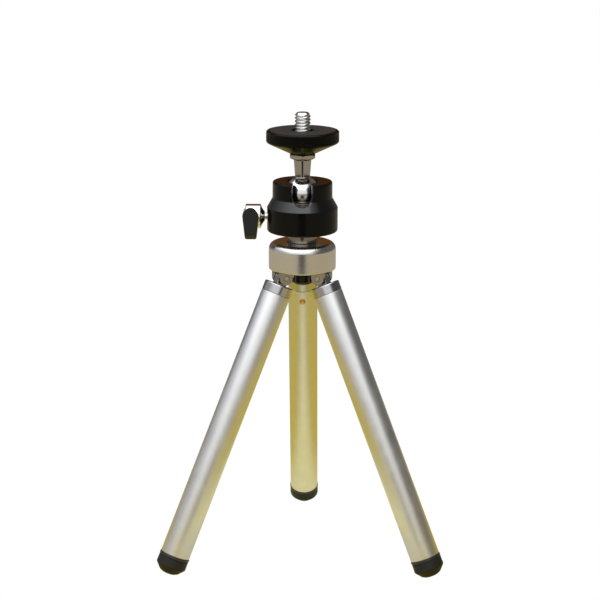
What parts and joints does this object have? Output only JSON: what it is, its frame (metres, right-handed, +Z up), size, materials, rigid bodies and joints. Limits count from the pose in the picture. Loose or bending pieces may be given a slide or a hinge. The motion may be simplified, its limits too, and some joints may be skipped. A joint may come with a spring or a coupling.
{
  "type": "tabletop tripod",
  "caption": "Small tabletop tripod: telescoping tube legs hinged under a turned hub, carrying a black ball head with a side lock lever and a round camera platform with a screw.",
  "frame": {"origin": "centre of the footprint of the open legs, on the surface that the feet stand on", "axes": "+Z up along the tripod axis; -Y the front, with the head notch and two legs; +Y the single back leg; -X the side of the lock lever"},
  "size_m": [0.1142, 0.1006, 0.1816],
  "materials": {
    "chrome": "polished",
    "turned_steel": "turned, bright",
    "satin_aluminium": "satin anodised",
    "turned_aluminium": "fine turned",
    "black_anodised": "gloss black over turned metal",
    "black_oxide": "black oxide",
    "black_rubber": "matte",
    "nylon": "natural nylon",
    "black_nylon": "satin black nylon",
    "brass": "bright"
  },
  "bodies": {
    "base": {"hub": "turned_aluminium", "hub_bolt": "black_oxide", "hub_nut": "turned_steel", "pan_washer": "nylon", "hinge_pin_back": "turned_steel", "hinge_pin_left": "turned_steel", "hinge_pin_right": "turned_steel"},
    "leg_back": {"leg_cap_back": "chrome", "cap_rivet_back": "brass", "leg_outer_back": "satin_aluminium", "leg_bushing_back": "black_nylon"},
    "leg_back_lower": {"leg_inner_back": "satin_aluminium", "inner_guide_back": "nylon", "foot_back": "black_rubber"},
    "leg_left": {"leg_cap_left": "chrome", "cap_rivet_left": "brass", "leg_outer_left": "satin_aluminium", "leg_bushing_left": "black_nylon"},
    "leg_left_lower": {"leg_inner_left": "satin_aluminium", "inner_guide_left": "nylon", "foot_left": "black_rubber"},
    "leg_right": {"leg_cap_right": "chrome", "cap_rivet_right": "brass", "leg_outer_right": "satin_aluminium", "leg_bushing_right": "black_nylon"},
    "leg_right_lower": {"leg_inner_right": "satin_aluminium", "inner_guide_right": "nylon", "foot_right": "black_rubber"},
    "head": {"head_housing": "black_anodised", "head_plug": "turned_steel"},
    "seat": {"pressure_seat": "brass"},
    "wedge": {"wedge_pin": "turned_steel"},
    "lock": {"lock_screw": "turned_steel", "lock_lever": "chrome"},
    "cup": {"friction_cup": "nylon"},
    "ball": {"ball_stud": "chrome"},
    "platform": {"platform_disc": "black_anodised", "platform_pad": "black_rubber"}
  },
  "joints": [
    {"name": "leg_fold_back", "type": "hinge", "parent": "base", "child": "leg_back", "pos_m": [0, -0.00565, 0.11649], "axis": [-1, 0, 0], "range_deg": [0, 24.1]},
    {"name": "leg_extend_back", "type": "slide", "parent": "leg_back", "child": "leg_back_lower", "axis": [0, 0.4083, -0.9128], "range_m": [0, 0.08]},
    {"name": "leg_fold_left", "type": "hinge", "parent": "base", "child": "leg_left", "pos_m": [-0.00779, -0.01915, 0.11649], "axis": [0.5, -0.866, 0], "range_deg": [0, 24.1]},
    {"name": "leg_extend_left", "type": "slide", "parent": "leg_left", "child": "leg_left_lower", "axis": [-0.3536, -0.2042, -0.9128], "range_m": [0, 0.08]},
    {"name": "leg_fold_right", "type": "hinge", "parent": "base", "child": "leg_right", "pos_m": [0.00779, -0.01915, 0.11649], "axis": [0.5, 0.866, 0], "range_deg": [0, 24.1]},
    {"name": "leg_extend_right", "type": "slide", "parent": "leg_right", "child": "leg_right_lower", "axis": [0.3536, -0.2042, -0.9128], "range_m": [0, 0.08]},
    {"name": "head_turn", "type": "hinge", "parent": "base", "child": "head", "pos_m": [0, -0.01465, 0.12999], "axis": [0, 0, 1], "range_deg": [-180, 180]},
    {"name": "seat_drop", "type": "slide", "parent": "head", "child": "seat", "axis": [0, 0, -1], "range_m": [0, 0.00021]},
    {"name": "wedge_slide", "type": "slide", "parent": "head", "child": "wedge", "axis": [-1, 0, 0], "range_m": [0, 0.00035]},
    {"name": "lock_turn", "type": "hinge", "parent": "wedge", "child": "lock", "pos_m": [-0.014, -0.01465, 0.14009], "axis": [-1, 0, 0], "range_deg": [0, 180]},
    {"name": "ball_side", "type": "hinge", "parent": "head", "child": "cup", "pos_m": [0, -0.01465, 0.14949], "axis": [0, 1, 0], "range_deg": [-20, 20]},
    {"name": "ball_front", "type": "hinge", "parent": "cup", "child": "ball", "pos_m": [0, -0.01465, 0.14949], "axis": [1, 0, 0], "range_deg": [-20, 90]},
    {"name": "platform_turn", "type": "hinge", "parent": "ball", "child": "platform", "pos_m": [0, -0.01465, 0.16539], "axis": [0, 0, 1], "range_deg": [0, 360]}
  ],
  "couplings": [
    {"joint": "lock_turn", "follows": "wedge_slide", "rad_per_m": 8976},
    {"joint": "seat_drop", "follows": "wedge_slide", "ratio": 0.5714}
  ]
}
